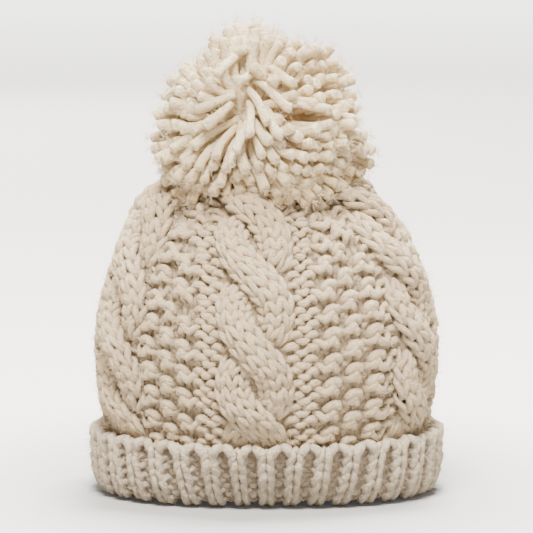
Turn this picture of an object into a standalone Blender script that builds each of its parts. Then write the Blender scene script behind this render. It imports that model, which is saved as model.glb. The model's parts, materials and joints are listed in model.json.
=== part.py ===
# A cable knit beanie standing on its rim: knitted crown, turned-up rib cuff and yarn pompom.
# Metres, +Z up, the front faces -Y, and the origin is on the floor under the middle.
# Tables are in millimetres. Angles are in degrees and run from the front round to +X.

import math
import random
from collections import namedtuple

import bmesh
import bpy
from mathutils import Vector

MM = 0.001
TURN = 360.0
WOOL_CREAM = (0.72, 0.63, 0.50, 1.0)
WOOL_RIB = (0.66, 0.58, 0.46, 1.0)
WOOL_POMPOM = (0.80, 0.71, 0.56, 1.0)

# Crown: outer ground surface from the foot, tucked behind the cuff, up to the gathered top.
# wall is the knit's thickness, relief the share of the full cable height that stands proud,
# and lean how far the row has slumped sideways.
CrownRow = namedtuple("CrownRow", "height radius wall relief lean")
CROWN_ROWS = (
    CrownRow(26.3, 77.1, 5.0, 0.00, 0.0),
    CrownRow(33.0, 77.3, 5.4, 0.10, 0.0),
    CrownRow(45.0, 78.8, 6.0, 0.90, 0.0),
    CrownRow(58.0, 80.4, 6.0, 1.00, 0.0),
    CrownRow(72.0, 80.8, 6.0, 1.00, 0.0),
    CrownRow(86.0, 79.4, 6.0, 1.00, 0.0),
    CrownRow(100.0, 76.0, 6.0, 1.00, 0.0),
    CrownRow(113.0, 71.4, 6.0, 1.00, -0.3),
    CrownRow(124.0, 66.4, 6.0, 1.00, -1.4),
    CrownRow(133.5, 59.6, 6.0, 1.00, -2.6),
    CrownRow(141.5, 50.8, 6.0, 0.90, -2.6),
    CrownRow(147.5, 40.0, 6.0, 0.60, -2.5),
    CrownRow(151.5, 27.0, 6.5, 0.25, -2.5),
    CrownRow(153.4, 13.5, 7.0, 0.00, -2.5),
    CrownRow(153.8, 0.0, 7.5, 0.00, -2.5),
)
CABLE_ANGLES = (-4.0, 61.0, 121.0, 180.0, 239.0, 300.0)
CABLE_WIDTH = 34.0
CABLE_REACH = 4.9  # highest stand of a cable over the purl ground
CABLE_CROSSING = 34.4  # length of knit between two crossings
CABLE_PIT_HEIGHT = 60.5  # where the two strands of each cable lie side by side
CABLE_STRAND_SHIFT = 0.5  # of half the cable's width
CABLE_STRAND_SWAP = 1.5  # how far a strand rises in front of the other
CABLE_PIT_FILL = 0.3  # knit left between the strands, as a share of their height
CHANNEL_WIDTH = 8.0  # purl channel beside a cable
SEED_REACH = 1.2
CABLE_SHARE = 0.72  # of the sector, once the cables crowd together at the top
CHANNEL_SHARE = 0.08
CABLE_CELLS = 8
CHANNEL_CELLS = 2
SEED_CELLS = 4
ROWS_PER_CROSSING = 5
INNER_ROWS = 6
PROFILE_STEPS = 24  # between two rows of the table, for measuring its length
SLOPE_REACH = 0.05  # of a row of the table, each way, for reading the profile's slope
CROWN_SHARP_ANGLE = 60.0

# Cuff: the folded band's section, once round. rib is how far a valley between ribs is set in
# from the section (out from it on the inside of the hat), and dip how far it is set down.
CuffPoint = namedtuple("CuffPoint", "radius height rib dip")
CUFF_SECTION = (
    CuffPoint(77.6, 30.4, 0.0, 0.0),
    CuffPoint(79.9, 32.6, 0.0, 1.2),
    CuffPoint(82.2, 31.0, 2.0, 1.0),
    CuffPoint(82.9, 25.0, 2.6, 0.0),
    CuffPoint(82.4, 14.0, 2.6, 0.0),
    CuffPoint(81.2, 5.0, 2.2, 0.0),
    CuffPoint(79.0, 0.0, 0.6, 0.0),
    CuffPoint(74.6, 0.0, -0.4, 0.0),
    CuffPoint(72.2, 5.0, -1.4, 0.0),
    CuffPoint(71.6, 15.0, -1.6, 0.0),
    CuffPoint(72.0, 26.0, 0.0, 0.0),
    CuffPoint(77.0, 26.0, 0.0, 0.0),
    CuffPoint(77.0, 8.0, 0.0, 0.0),
    CuffPoint(77.6, 8.0, 0.0, 0.0),
)
RIBS = 36
RIB_TOP_ANGLE = 5.2  # of the 10 degrees from rib to rib
CUFF_SHARP_ANGLE = 50.0

# The rim is squeezed front to back into a rounded oval, and the knit above it swells to round.
FOLD_RADIUS = 77.3
RIM_SHAPE_HEIGHT = 45.0
RIM_SQUEEZE = 0.20  # of the depth, at the floor
RIM_CORNERS = 0.06  # fuller at the four corners than an ellipse
RIM_LEAN = 6.0  # how far the ribs turn towards the front and back, at the floor
RIM_EASE = 1.5  # how fast the shape goes with height

# Pompom: a rounded form that droops over the crown and is cut into blunt locks.
POMPOM_MIDDLE = (-2.5, -10.0, 163.0)
POMPOM_RADIUS = 50.4
POMPOM_RISE = 60.5
POMPOM_FULLNESS = 2.6  # 2 is an ellipsoid, more is squarer
POMPOM_DROOP = 0.0049  # per millimetre, of the square of the distance from the hat's axis
POMPOM_TUCK = 0.25  # how fast the lowest locks get shorter
POMPOM_TUCK_START = 0.12  # rise of the direction below which they do
POMPOM_SEAT = 0.8  # clearance over the crown
LOCKS = 260
LOCK_DEPTH = 15.0
LOCK_TIP_SHARE = 0.74
LOCK_SHORTEST = 5.0  # under this a lock is left as a plain facet of the seat
LOCK_TRIM = 0.25  # step in which a lock is cut back from the crown
LOCK_SHARP_ANGLE = 40.0
LOCK_LENGTH_SPREAD = 1.8
LOCK_SWAY = 0.035
GOLDEN_ANGLE = math.pi * (3.0 - math.sqrt(5.0))
SEED = 11


def clear_scene():
    for thing in list(bpy.data.objects):
        bpy.data.objects.remove(thing, do_unlink=True)


def wool(name, colour):
    material = bpy.data.materials.new(name)
    material.use_nodes = True
    shader = material.node_tree.nodes["Principled BSDF"]
    shader.inputs["Base Color"].default_value = colour
    shader.inputs["Roughness"].default_value = 0.95
    shader.inputs["Metallic"].default_value = 0.0
    material.diffuse_color = colour
    return material


def add_piece(name, points, faces, material, sharp_angle):
    mesh = bpy.data.meshes.new(name)
    mesh.from_pydata([Vector(p) * MM for p in points], [], faces)
    mesh.materials.append(material)
    mesh.shade_smooth()
    mesh.set_sharp_from_angle(angle=math.radians(sharp_angle))
    mesh.update()
    piece = bpy.data.objects.new(name, mesh)
    bpy.context.scene.collection.objects.link(piece)
    return piece


def at(angle, radius, height, lean=0.0):
    """A point round the hat, squeezed as its height asks, with the wall's thickness kept."""
    share = max(1.0 - height / RIM_SHAPE_HEIGHT, 0.0) ** RIM_EASE
    turn = math.radians(angle)
    corner = RIM_CORNERS * share * math.sin(2 * turn) ** 2
    turn -= math.radians(RIM_LEAN) * share * math.sin(2 * turn)
    wide = radius + FOLD_RADIUS * corner
    deep = wide - FOLD_RADIUS * RIM_SQUEEZE * share
    return (wide * math.sin(turn) + lean, -deep * math.cos(turn), height)


def catmull_rom(a, b, c, d, t):
    return 0.5 * (2 * b + (c - a) * t + (2 * a - 5 * b + 4 * c - d) * t**2
                  + (3 * b - a - 3 * c + d) * t**3)


def crown_row(place):
    """The table's row at a whole or part place, by a smooth curve through its rows."""
    last = len(CROWN_ROWS) - 1
    low = min(int(place), last - 1)
    rows = [CROWN_ROWS[min(max(low + k, 0), last)] for k in (-1, 0, 1, 2)]
    return CrownRow(*(catmull_rom(*values, place - low) for values in zip(*rows)))


def measure_profile():
    """Places along the table with the length of knit up to each."""
    steps = (len(CROWN_ROWS) - 1) * PROFILE_STEPS
    places, lengths = [0.0], [0.0]
    before = crown_row(0.0)
    for step in range(1, steps + 1):
        row = crown_row(step / PROFILE_STEPS)
        run = math.hypot(row.height - before.height, row.radius - before.radius)
        places.append(step / PROFILE_STEPS)
        lengths.append(lengths[-1] + run)
        before = row
    return places, lengths


def interpolate(x, xs, ys):
    if x <= xs[0]:
        return ys[0]
    for k in range(1, len(xs)):
        if x <= xs[k]:
            share = (x - xs[k - 1]) / max(xs[k] - xs[k - 1], 1e-9)
            return ys[k - 1] + share * (ys[k] - ys[k - 1])
    return ys[-1]


def normal_at(place):
    """Outward direction of the crown's profile, as (radial, upward)."""
    last = len(CROWN_ROWS) - 1
    below = crown_row(max(place - SLOPE_REACH, 0.0))
    above = crown_row(min(place + SLOPE_REACH, last))
    across, up = above.radius - below.radius, above.height - below.height
    size = math.hypot(across, up)
    return up / size, -across / size


def strand_height(across, phase):
    """Height of a strand of the cable, from 0 to 1, before it rises over the other."""
    middle = -CABLE_STRAND_SHIFT * math.cos(phase)
    side = (across - middle) / CABLE_STRAND_SHIFT
    return math.sqrt(max(1.0 - side * side, 0.0))


def cable_relief(across, length, pit_length):
    """Two strands that twist about each other: the left one crosses in front, going down."""
    phase = math.pi * (length - pit_length) / CABLE_CROSSING
    body = CABLE_REACH - CABLE_STRAND_SWAP
    heights = []
    for turn in (phase, phase + math.pi):
        round_part = strand_height(across, turn)
        heights.append(round_part * (body - CABLE_STRAND_SWAP * math.sin(turn)))
    edge = math.sqrt(max(1.0 - across * across, 0.0))
    return max(max(heights), CABLE_PIT_FILL * body * edge)


def sector_columns(sector, radius):
    """Angles from the middle of one cable to the next, each with its place in the pattern."""
    cable = min(math.degrees(CABLE_WIDTH / 2 / radius), CABLE_SHARE * sector / 2)
    channel = min(math.degrees(CHANNEL_WIDTH / radius), CHANNEL_SHARE * sector)
    seed = sector - 2 * cable - 2 * channel
    half = CABLE_CELLS // 2
    columns = [(cable * k / half, "cable", k / half) for k in range(half + 1)]
    start = cable
    for kind, width, cells in (("channel", channel, CHANNEL_CELLS), ("seed", seed, SEED_CELLS),
                               ("channel", channel, CHANNEL_CELLS)):
        for k in range(1, cells + 1):
            columns.append((start + width * k / cells, kind, k / cells))
        start += width
    columns += [(start + cable * k / half, "cable", k / half - 1.0) for k in range(1, half)]
    return columns


def panel_relief(kind, across, length, pit_length):
    if kind == "cable":
        return cable_relief(across, length, pit_length)
    if kind == "seed" and across < 1.0:
        return SEED_REACH
    return 0.0


def columns_round(radius):
    """Every column round the hat: its angle, its panel and its place across the panel."""
    for k, centre in enumerate(CABLE_ANGLES):
        sector = (CABLE_ANGLES[(k + 1) % len(CABLE_ANGLES)] - centre) % TURN
        for angle, kind, across in sector_columns(sector, radius):
            yield centre + angle, kind, across


def outer_ring(place, length, pit_length):
    """One row of points round the outside of the crown."""
    row = crown_row(place)
    radial, upward = normal_at(place)
    ring = []
    for angle, kind, across in columns_round(row.radius):
        proud = row.relief * panel_relief(kind, across, length, pit_length)
        radius, height = row.radius + proud * radial, row.height + proud * upward
        ring.append(at(angle, radius, height, row.lean))
    return ring


def inner_ring(place):
    """One row of points round the inside, no lower than the foot."""
    row = crown_row(place)
    foot = CROWN_ROWS[0]
    radial, upward = normal_at(place)
    radius, height = row.radius - row.wall * radial, max(row.height - row.wall * upward, foot.height)
    return [at(angle, radius, height, row.lean) for angle, _, _ in columns_round(foot.radius)]


def bridge_rings(first, second, count):
    return [(first + k, first + (k + 1) % count, second + (k + 1) % count, second + k)
            for k in range(count)]


def build_crown(material):
    places, lengths = measure_profile()
    heights = [crown_row(p).height for p in places]
    pit_length = interpolate(CABLE_PIT_HEIGHT, heights, lengths)
    outer_rows = 1 + int(lengths[-1] * ROWS_PER_CROSSING / CABLE_CROSSING)
    rings = []
    for k in range(outer_rows):
        length = lengths[-1] * k / outer_rows
        rings.append(outer_ring(interpolate(length, lengths, places), length, pit_length))
    for k in range(INNER_ROWS):
        length = lengths[-1] * k / INNER_ROWS
        rings.append(inner_ring(interpolate(length, lengths, places)))
    count = len(rings[0])
    points = [p for ring in rings for p in ring]
    top = CROWN_ROWS[-1]
    points.append((top.lean, 0.0, top.height))
    points.append((top.lean, 0.0, top.height - top.wall))
    starts = [k * count for k in range(len(rings))]
    outer, inner = starts[:outer_rows], starts[outer_rows:]
    faces = bridge_rings(inner[0], outer[0], count)
    for low, high in zip(outer, outer[1:]):
        faces += bridge_rings(low, high, count)
    for low, high in zip(inner, inner[1:]):
        faces += bridge_rings(high, low, count)
    for k in range(count):
        after = (k + 1) % count
        faces.append((outer[-1] + k, outer[-1] + after, len(points) - 2))
        faces.append((inner[-1] + after, inner[-1] + k, len(points) - 1))
    return add_piece("crown", points, faces, material, CROWN_SHARP_ANGLE)


def build_cuff(material):
    pitch = TURN / RIBS
    points = []
    for point in CUFF_SECTION:
        for rib in range(RIBS):
            middle = rib * pitch
            for offset in (-RIB_TOP_ANGLE / 2, RIB_TOP_ANGLE / 2):
                points.append(at(middle + offset, point.radius, point.height))
            points.append(at(middle + pitch / 2, point.radius - point.rib, point.height - point.dip))
    count = RIBS * 3
    sections = len(CUFF_SECTION)
    faces = []
    for k in range(sections):
        faces += bridge_rings((k + 1) % sections * count, k * count, count)
    return add_piece("brim_cuff", points, faces, material, CUFF_SHARP_ANGLE)


def crown_top():
    """A function for the crown's highest point, cables included, at a distance off its axis."""
    last = len(CROWN_ROWS) - 1
    steps = last * PROFILE_STEPS
    radii, heights = [], []
    for step in range(steps, -1, -1):
        place = step / PROFILE_STEPS
        row = crown_row(place)
        radial, upward = normal_at(place)
        if row.height < CABLE_PIT_HEIGHT:
            break
        proud = CABLE_REACH * row.relief
        radii.append(max(row.radius + proud * radial, 0.0))
        heights.append(row.height + proud * upward)
    return lambda distance: interpolate(distance, radii, heights)


def even_directions(count):
    """Directions spread evenly over a sphere, with a little seeded sway."""
    chance = random.Random(SEED)
    directions = []
    for k in range(count):
        up = 1.0 - 2.0 * (k + 0.5) / count
        flat = math.sqrt(1.0 - up * up)
        turn = k * GOLDEN_ANGLE
        sway = Vector([chance.uniform(-LOCK_SWAY, LOCK_SWAY) for _ in range(3)])
        directions.append((Vector((flat * math.cos(turn), flat * math.sin(turn), up)) + sway)
                          .normalized())
    return directions


def cells_round(directions):
    """Ring of corner directions of the cell round each direction, counterclockwise from outside."""
    hull = bmesh.new()
    for direction in directions:
        hull.verts.new(direction)
    bmesh.ops.convex_hull(hull, input=hull.verts)
    hull.verts.index_update()
    hull.faces.index_update()
    corners = []
    for face in hull.faces:
        corners.append(sum((v.co for v in face.verts), Vector()).normalized())
    cells = []
    for vert in hull.verts:
        out = vert.co.normalized()
        side = out.orthogonal().normalized()
        front = out.cross(side)
        ring = [face.index for face in vert.link_faces]
        ring.sort(key=lambda f: math.atan2(corners[f].dot(front), corners[f].dot(side)))
        cells.append((out, ring))
    hull.free()
    return corners, cells


def pompom_reach(direction):
    flat = math.hypot(direction.x, direction.y) / POMPOM_RADIUS
    up = abs(direction.z) / POMPOM_RISE
    tuck = 1.0 - POMPOM_TUCK * max(POMPOM_TUCK_START - direction.z, 0.0)
    return tuck * (flat**POMPOM_FULLNESS + up**POMPOM_FULLNESS) ** (-1.0 / POMPOM_FULLNESS)


def off_axis(point):
    return math.hypot(point.x - CROWN_ROWS[-1].lean, point.y)


def pompom_point(direction, reach):
    point = Vector(POMPOM_MIDDLE) + direction * reach
    point.z -= POMPOM_DROOP * off_axis(point) ** 2
    return point


def build_pompom(material):
    chance = random.Random(SEED + 1)
    top_of = crown_top()

    def clearance(point):
        return point.z - top_of(off_axis(point)) - POMPOM_SEAT

    def shorten(direction, reach, shortest):
        while reach > shortest and clearance(pompom_point(direction, reach)) < 0.0:
            reach -= LOCK_TRIM
        return max(reach, shortest)

    def seated(direction, reach):
        point = pompom_point(direction, reach)
        point.z -= min(clearance(point), 0.0)
        return point

    corners, cells = cells_round(even_directions(LOCKS))
    points = [seated(c, pompom_reach(c) - LOCK_DEPTH) for c in corners]
    faces = []
    for out, ring in cells:
        root = pompom_reach(out) - LOCK_DEPTH
        spread = chance.uniform(-LOCK_LENGTH_SPREAD, LOCK_LENGTH_SPREAD)
        tip = shorten(out, pompom_reach(out) + spread, root)
        if tip - root < LOCK_SHORTEST:
            faces.append(tuple(ring))
            continue
        start = len(points)
        for corner in ring:
            direction = (out + (corners[corner] - out) * LOCK_TIP_SHARE).normalized()
            reach = shorten(direction, pompom_reach(direction) + spread, root)
            points.append(seated(direction, reach))
        count = len(ring)
        faces.append(tuple(range(start, start + count)))
        for k in range(count):
            after = (k + 1) % count
            faces.append((ring[k], ring[after], start + after, start + k))
    return add_piece("pompom", points, faces, material, LOCK_SHARP_ANGLE)


def main():
    clear_scene()
    build_crown(wool("crown_wool", WOOL_CREAM))
    build_cuff(wool("cuff_wool", WOOL_RIB))
    build_pompom(wool("pompom_wool", WOOL_POMPOM))


main()
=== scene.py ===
import json
import math

import bmesh
import bpy
import numpy as np
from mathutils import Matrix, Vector

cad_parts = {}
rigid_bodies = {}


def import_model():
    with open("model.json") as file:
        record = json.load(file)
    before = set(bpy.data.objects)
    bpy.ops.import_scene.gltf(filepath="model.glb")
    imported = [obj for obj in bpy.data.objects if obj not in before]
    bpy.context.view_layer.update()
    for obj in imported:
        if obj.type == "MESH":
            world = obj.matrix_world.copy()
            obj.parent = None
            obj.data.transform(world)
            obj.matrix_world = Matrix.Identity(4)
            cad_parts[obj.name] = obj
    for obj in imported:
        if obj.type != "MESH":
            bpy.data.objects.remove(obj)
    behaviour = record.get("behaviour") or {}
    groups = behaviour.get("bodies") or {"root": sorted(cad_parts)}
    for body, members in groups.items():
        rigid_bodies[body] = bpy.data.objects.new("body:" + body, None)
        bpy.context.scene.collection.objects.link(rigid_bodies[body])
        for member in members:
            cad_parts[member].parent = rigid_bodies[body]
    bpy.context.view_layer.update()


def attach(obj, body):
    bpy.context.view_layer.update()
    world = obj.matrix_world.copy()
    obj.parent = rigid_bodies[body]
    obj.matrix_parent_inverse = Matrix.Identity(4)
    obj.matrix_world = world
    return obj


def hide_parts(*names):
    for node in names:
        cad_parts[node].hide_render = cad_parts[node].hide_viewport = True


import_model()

mm = 0.001
fullTurn = 360.0


# Shape of the hat. Lengths are in millimetres, angles in degrees from the front round to +X.

hatShape = {
    "foldRadius": 77.3,
    "rimShapeHeight": 45.0,  # below this the rim is squeezed into a rounded oval
    "rimSqueeze": 0.20,
    "rimCorners": 0.06,
    "rimLean": 6.0,
    "rimEase": 1.5,
    "stepsBetweenRows": 24,
}

crownProfile = {  # outer ground of the knit, from behind the cuff to the gathered top
    "height": (26.3, 33, 45, 58, 72, 86, 100, 113, 124, 133.5, 141.5, 147.5, 151.5, 153.4, 153.8),
    "radius": (77.1, 77.3, 78.8, 80.4, 80.8, 79.4, 76.0, 71.4, 66.4, 59.6, 50.8, 40.0, 27.0, 13.5, 0.0),
    "relief": (0.0, 0.1, 0.9, 1, 1, 1, 1, 1, 1, 1, 0.9, 0.6, 0.25, 0, 0),
    "lean": (0, 0, 0, 0, 0, 0, 0, -0.3, -1.4, -2.6, -2.6, -2.5, -2.5, -2.5, -2.5),
}

cuffProfile = {  # middle of the rib band, from the cast-on edge down, round the fold and up inside
    "height": (30.6, 26, 20, 14, 8.5, 4.9, 3.7, 4.9, 9, 15, 21, 27),
    "radius": (79.7, 80.4, 80.3, 80.0, 79.4, 78.2, 76.4, 74.8, 74.3, 74.3, 74.5, 74.8),
}


def at(angle, radius, height, lean=0.0):
    share = np.clip(1.0 - height / hatShape["rimShapeHeight"], 0.0, None) ** hatShape["rimEase"]
    turn = np.radians(angle)
    corner = hatShape["rimCorners"] * share * np.sin(2 * turn) ** 2
    turn = turn - math.radians(hatShape["rimLean"]) * share * np.sin(2 * turn)
    wide = radius + hatShape["foldRadius"] * corner
    deep = wide - hatShape["foldRadius"] * hatShape["rimSqueeze"] * share
    return np.stack([wide * np.sin(turn) + lean, -deep * np.cos(turn), height], axis=-1)


def smoothRows(columns):  # a smooth curve through the rows of a profile
    rows = np.array(list(columns.values()), float).T
    last = len(rows) - 1
    place = np.linspace(0, last, last * hatShape["stepsBetweenRows"] + 1)
    low = np.minimum(place.astype(int), last - 1)
    t = (place - low)[:, None]
    a, b, c, d = (rows[np.clip(low + k, 0, last)] for k in (-1, 0, 1, 2))
    curve = 0.5 * (2 * b + (c - a) * t + (2 * a - 5 * b + 4 * c - d) * t**2
                   + (3 * b - a - 3 * c + d) * t**3)
    return dict(zip(columns, curve.T))


def surfaceOf(profile, facing=1.0):  # facing is -1 where the profile runs down the outside
    surface = smoothRows(profile)
    rise, run = np.gradient(surface["height"]), np.gradient(surface["radius"])
    size = np.hypot(rise, run)
    surface["radial"], surface["upward"] = facing * rise / size, -facing * run / size
    steps = np.hypot(np.diff(surface["height"]), np.diff(surface["radius"]))
    surface["length"] = np.concatenate([[0.0], np.cumsum(steps)])
    return surface


def read(surface, name, length):
    return np.interp(length, surface["length"], surface[name])


def pointOn(surface, angle, length, depth):
    radius = read(surface, "radius", length) + depth * read(surface, "radial", length)
    height = read(surface, "height", length) + depth * read(surface, "upward", length)
    lean = read(surface, "lean", length) if "lean" in surface else 0.0
    return at(angle, radius, height, lean)


def outwardOn(surface, angle, length):
    return unit(pointOn(surface, angle, length, 1.0) - pointOn(surface, angle, length, 0.0))


def unit(v):
    return v / np.linalg.norm(v, axis=-1, keepdims=True)


def placed(name, data):
    piece = bpy.data.objects.new(name, data)
    bpy.context.scene.collection.objects.link(piece)
    return piece


# Nodes

def addNode(tree, kind, inputs=None, **settings):  # an input is a value or the output of another node
    node = tree.nodes.new(kind)
    for name, value in settings.items():
        setattr(node, name, value)
    for name, value in (inputs or {}).items():
        if isinstance(value, bpy.types.NodeSocket):
            tree.links.new(value, node.inputs[name])
        else:
            node.inputs[name].default_value = value
    return node


def calculated(tree, operation, *values):
    return addNode(tree, "ShaderNodeMath", dict(enumerate(values)), operation=operation).outputs["Value"]


def ranged(tree, value, start, end, low=0.0, high=1.0, ease="LINEAR"):
    inputs = {"Value": value, "From Min": start, "From Max": end, "To Min": low, "To Max": high}
    return addNode(tree, "ShaderNodeMapRange", inputs, interpolation_type=ease).outputs["Result"]


def mixed(tree, share, first, second):
    inputs = {"Factor": share, "A": first, "B": second}
    return addNode(tree, "ShaderNodeMix", inputs, data_type="RGBA").outputs["Result"]


def noisy(tree, place, scale, detail, roughness=0.5):
    inputs = {"Vector": place, "Scale": scale, "Detail": detail, "Roughness": roughness}
    return addNode(tree, "ShaderNodeTexNoise", inputs).outputs["Fac"]


def attribute(tree, name, output="Fac"):
    return addNode(tree, "ShaderNodeAttribute", attribute_name=name).outputs[output]


def rgba(colour):
    return (*colour, 1.0)


def newMaterial(name, values):
    material = bpy.data.materials.new(name)
    material.use_nodes = True
    shader = material.node_tree.nodes["Principled BSDF"]
    for socket, value in values.items():
        shader.inputs[socket].default_value = value
    return material, material.node_tree, shader


def bumped(tree, shader, height, strength, depth):
    bump = addNode(tree, "ShaderNodeBump", {"Strength": strength, "Distance": depth, "Height": height})
    tree.links.new(bump.outputs["Normal"], shader.inputs["Normal"])


# Yarn

yarn = {
    "sides": 8,
    "sway": 0.24,  # unevenness of a stitch, in millimetres
    "swell": 0.05,
    "lumps": 0.05,  # how unevenly the yarn was spun
    "lumpiest": 2.0,
    "swingFrom": 0.35,  # where a tilted stitch starts to swing back to its foot
    "swingOver": 0.3,
    "seed": 7,
}

chance = np.random.default_rng(yarn["seed"])


def eased(share):
    share = np.clip(share, 0, 1)
    return share * share * (3 - 2 * share)


def loopPath(kind, facing, above, left, right, hand):
    # one stitch: foot, leg, head, leg, foot. facing is 1 for knit and -1 for purl, of this stitch,
    # the one above it and its neighbours. Beside a knit stitch it is the purl stitch that changes face,
    # early on the side of its hand
    t = -math.pi + 2 * math.pi * (np.arange(kind["samples"]) + 0.5) / kind["samples"]
    turn, side = np.abs(t) / math.pi, np.sign(t)
    half = kind["width"] / 2
    x = half * side * turn ** kind["spread"] + kind["bulge"] * np.sin(2 * t)
    y = kind["halfHeight"] * np.cos(t)
    swing = np.clip((turn - yarn["swingFrom"]) / yarn["swingOver"], 0, 1)
    y = y + hand * kind["tilt"] * (x - side * half * swing)
    begin, end = (np.where(side * hand > 0, early, late)
                  for early, late in zip(kind["early"], kind["change"]))
    ease = eased((turn - begin) / (end - begin))
    beside = np.where(t > 0, right, left)
    share = 0.5 if hand == 0 else float(facing < 0)
    foot = facing + share * (beside - facing) * ease
    back = np.where(turn < 0.5, above, foot)
    start, full, fading, over = kind["window"]
    legs = eased((turn - start) / (full - start)) * eased((over - turn) / (over - fading))
    front = kind["legs"] * facing * legs - back * (1 - legs)
    return x, y, front


def thickness(kind, front):
    return kind["thick"] * (1 - kind["pinch"] * (1 - front) / 2) * (1 + chance.normal(0, yarn["swell"]))


def newCourse():
    return {key: [] for key in ("points", "outward", "thick", "shade", "proud")}


def joined(course):
    return {key: np.concatenate(parts) for key, parts in course.items()}


def lumpy(count):
    noise = chance.normal(0, 1, count)
    return (np.roll(noise, 1) + 2 * noise + np.roll(noise, -1)) / 2.45  # so its spread stays 1


def sweptYarn(name, paths, closed, material, sides, caps=False):
    points = np.concatenate([p["points"] for p in paths])
    edges, start = [], 0
    for p in paths:
        count = len(p["points"])
        k = np.arange(count if closed else count - 1)
        edges.append(np.stack([start + k, start + (k + 1) % count], axis=1))
        start += count
    edges = np.concatenate(edges)
    guide = bpy.data.meshes.new(name)
    guide.vertices.add(len(points))
    guide.vertices.foreach_set("co", (points * mm).astype(np.float32).ravel())
    guide.edges.add(len(edges))
    guide.edges.foreach_set("vertices", edges.astype(np.int32).ravel())
    values = {key: np.concatenate([p[key] for p in paths]) for key in ("thick", "shade", "proud")}
    lumps = np.clip(lumpy(start), -yarn["lumpiest"], yarn["lumpiest"])
    values["thick"] = values["thick"] * mm * (1 + yarn["lumps"] * lumps)
    for key, value in values.items():
        guide.attributes.new(key, "FLOAT", "POINT").data.foreach_set("value", value.astype(np.float32))
    outward = np.concatenate([p["outward"] for p in paths]).astype(np.float32)
    guide.attributes.new("outward", "FLOAT_VECTOR", "POINT").data.foreach_set("vector", outward.ravel())
    guide.update()
    piece = placed(name, guide)
    modifier = piece.modifiers.new("yarn", "NODES")
    modifier.node_group = yarnTree()
    sockets = modifier.node_group.interface.items_tree
    inputs = {s.name: s.identifier for s in sockets if s.in_out == "INPUT"}
    modifier[inputs["Sides"]] = sides
    modifier[inputs["Cap Ends"]] = caps
    modifier[inputs["Wool"]] = material
    made = bpy.data.meshes.new_from_object(piece.evaluated_get(bpy.context.evaluated_depsgraph_get()))
    piece.modifiers.clear()
    piece.data = made
    made.name = name
    made.shade_smooth()
    bpy.data.meshes.remove(guide)
    return piece


def captured(tree, geometry, kind, name, value):
    node = tree.nodes.new("GeometryNodeCaptureAttribute")
    node.capture_items.new(kind, name)
    tree.links.new(geometry, node.inputs["Geometry"])
    tree.links.new(value, node.inputs[name])
    return node.outputs["Geometry"], node.outputs[name]


def stored(tree, geometry, kind, name, value):
    inputs = {"Geometry": geometry, "Name": name, "Value": value}
    return addNode(tree, "GeometryNodeStoreNamedAttribute", inputs, data_type=kind,
                   domain="POINT").outputs["Geometry"]


def named(tree, kind, name):
    return addNode(tree, "GeometryNodeInputNamedAttribute", {"Name": name},
                   data_type=kind).outputs["Attribute"]


def yarnTree():
    if "yarnAlongPath" in bpy.data.node_groups:
        return bpy.data.node_groups["yarnAlongPath"]
    tree = bpy.data.node_groups.new("yarnAlongPath", "GeometryNodeTree")
    for name, kind in (("Paths", "Geometry"), ("Sides", "Int"), ("Cap Ends", "Bool"), ("Wool", "Material")):
        tree.interface.new_socket(name, in_out="INPUT", socket_type="NodeSocket" + kind)
    tree.interface.new_socket("Yarn", in_out="OUTPUT", socket_type="NodeSocketGeometry")
    start = addNode(tree, "NodeGroupInput").outputs
    curves = addNode(tree, "GeometryNodeMeshToCurve", {"Mesh": start["Paths"]}).outputs["Curve"]
    length = addNode(tree, "GeometryNodeSplineParameter").outputs["Length"]
    curves, length = captured(tree, curves, "FLOAT", "Length", length)
    ring = addNode(tree, "GeometryNodeCurvePrimitiveCircle", {"Radius": 1.0, "Resolution": start["Sides"]})
    position = addNode(tree, "GeometryNodeInputPosition").outputs["Position"]
    ring, place = captured(tree, ring.outputs["Curve"], "VECTOR", "Place", position)
    sweep = addNode(tree, "GeometryNodeCurveToMesh", {
        "Curve": curves, "Profile Curve": ring, "Scale": named(tree, "FLOAT", "thick"),
        "Fill Caps": start["Cap Ends"]}).outputs["Mesh"]
    across = addNode(tree, "ShaderNodeSeparateXYZ", {"Vector": place}).outputs
    fibre = addNode(tree, "ShaderNodeCombineXYZ", {"X": length, "Y": across["X"], "Z": across["Y"]})
    sweep = stored(tree, sweep, "FLOAT_VECTOR", "fibre", fibre.outputs["Vector"])
    # how far the yarn's surface faces outward, which the wool's painted shade reads
    normal = addNode(tree, "GeometryNodeInputNormal").outputs["Normal"]
    facing = addNode(tree, "ShaderNodeVectorMath", {0: normal, 1: named(tree, "FLOAT_VECTOR", "outward")},
                     operation="DOT_PRODUCT")
    sweep = stored(tree, sweep, "FLOAT", "topSide", facing.outputs["Value"])
    sweep = addNode(tree, "GeometryNodeRealizeInstances", {"Geometry": sweep}).outputs["Geometry"]
    sweep = addNode(tree, "GeometryNodeSetMaterial", {"Geometry": sweep, "Material": start["Wool"]})
    addNode(tree, "NodeGroupOutput", {"Yarn": sweep.outputs["Geometry"]})
    return tree


# Wool

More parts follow.
